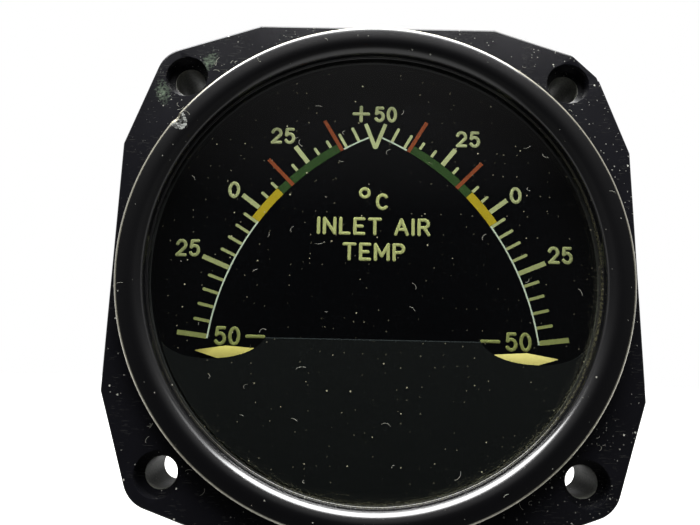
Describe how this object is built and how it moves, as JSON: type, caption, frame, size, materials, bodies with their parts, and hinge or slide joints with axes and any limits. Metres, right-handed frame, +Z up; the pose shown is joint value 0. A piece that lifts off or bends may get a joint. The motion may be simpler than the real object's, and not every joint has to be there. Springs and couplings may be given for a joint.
{
  "type": "twin pointer aircraft temperature indicator",
  "caption": "Round panel instrument with a square flange: two long pointers over two mirrored temperature scales, a moving-coil movement for each, and a rear plug receptacle.",
  "frame": {"origin": "centre of the flange's front face, which is the centre of the four mounting holes", "axes": "+Y from the dial to the back of the case, +Z up on the dial, +X to the viewer's right"},
  "size_m": [0.0818, 0.0734, 0.0818],
  "materials": {
    "black_phenolic": "satin black moulding",
    "black_enamel": "satin black baked enamel",
    "clear_glass": "polished",
    "black_rubber": "matt",
    "black_dial_paint": "matt black",
    "pale_lume_paint": "matt pale yellow-green",
    "grey_print": "matt",
    "red_paint": "matt",
    "green_paint": "matt",
    "yellow_paint": "matt",
    "pointer_paint": "matt yellow",
    "brass": "turned",
    "steel": "bright",
    "black_steel": "blackened",
    "magnet_alloy": "ground",
    "aluminium_sheet": "plain",
    "copper_wire": "enamelled copper wire",
    "bronze_strip": "spring",
    "brown_phenolic": "plain",
    "tinned_metal": "tinned",
    "wire_cover": "plain",
    "plated_shell": "satin plated",
    "insert_black": "plain",
    "contact_metal": "plated"
  },
  "bodies": {
    "instrument": {"case": "black_phenolic", "bezel_ring": "black_enamel", "cover_glass": "clear_glass", "glass_gasket": "black_rubber", "dial_spacer": "black_dial_paint", "dial_plate": "black_dial_paint", "dial_mask": "black_dial_paint", "scale_ticks": "pale_lume_paint", "scale_arcs": "grey_print", "red_marks": "red_paint", "green_bands": "green_paint", "yellow_bands": "yellow_paint", "mask_pillars": "black_dial_paint", "mask_nuts": "brass", "dial_posts": "brass", "dial_screws": "steel", "spring_studs": "brass", "magnet_yokes": "steel", "core_magnets": "magnet_alloy", "core_supports": "brass", "yoke_posts": "brass", "yoke_screws": "steel", "front_plate": "aluminium_sheet", "base_plate": "aluminium_sheet", "front_bushes": "brass", "rear_bushes": "brass", "plate_pillars": "brass", "pillar_nuts": "steel", "stop_pins": "brass", "rear_posts": "brass", "rear_nuts": "steel", "case_screws": "black_steel", "resistor_bobbins": "brown_phenolic", "resistor_windings": "copper_wire", "resistor_screws": "steel", "terminal_strip": "brown_phenolic", "terminal_screws": "steel", "terminal_lugs": "tinned_metal", "lead_wires": "wire_cover", "receptacle_shell": "plated_shell", "receptacle_gasket": "black_rubber", "receptacle_insert": "insert_black", "contacts": "contact_metal", "receptacle_screws": "black_steel"},
    "left_movement": {"left_pointer": "pointer_paint", "left_front_spindle": "steel", "left_rear_spindle": "steel", "left_coil_former": "aluminium_sheet", "left_coil_winding": "copper_wire", "left_balance": "brass", "left_front_hairspring": "bronze_strip", "left_rear_hairspring": "bronze_strip"},
    "right_movement": {"right_pointer": "pointer_paint", "right_front_spindle": "steel", "right_rear_spindle": "steel", "right_coil_former": "aluminium_sheet", "right_coil_winding": "copper_wire", "right_balance": "brass", "right_front_hairspring": "bronze_strip", "right_rear_hairspring": "bronze_strip"}
  },
  "joints": [
    {"name": "left_pointer_turn", "type": "hinge", "parent": "instrument", "child": "left_movement", "pos_m": [0.01634, 0.01, -0.01628], "axis": [0, 1, 0], "range_deg": [0, 64], "stiffness_Nm_per_rad": 0.00002, "deforming": ["left_front_hairspring", "left_rear_hairspring"]},
    {"name": "right_pointer_turn", "type": "hinge", "parent": "instrument", "child": "right_movement", "pos_m": [-0.01634, 0.01, -0.01628], "axis": [0, -1, 0], "range_deg": [0, 64], "stiffness_Nm_per_rad": 0.00002, "deforming": ["right_front_hairspring", "right_rear_hairspring"]}
  ]
}
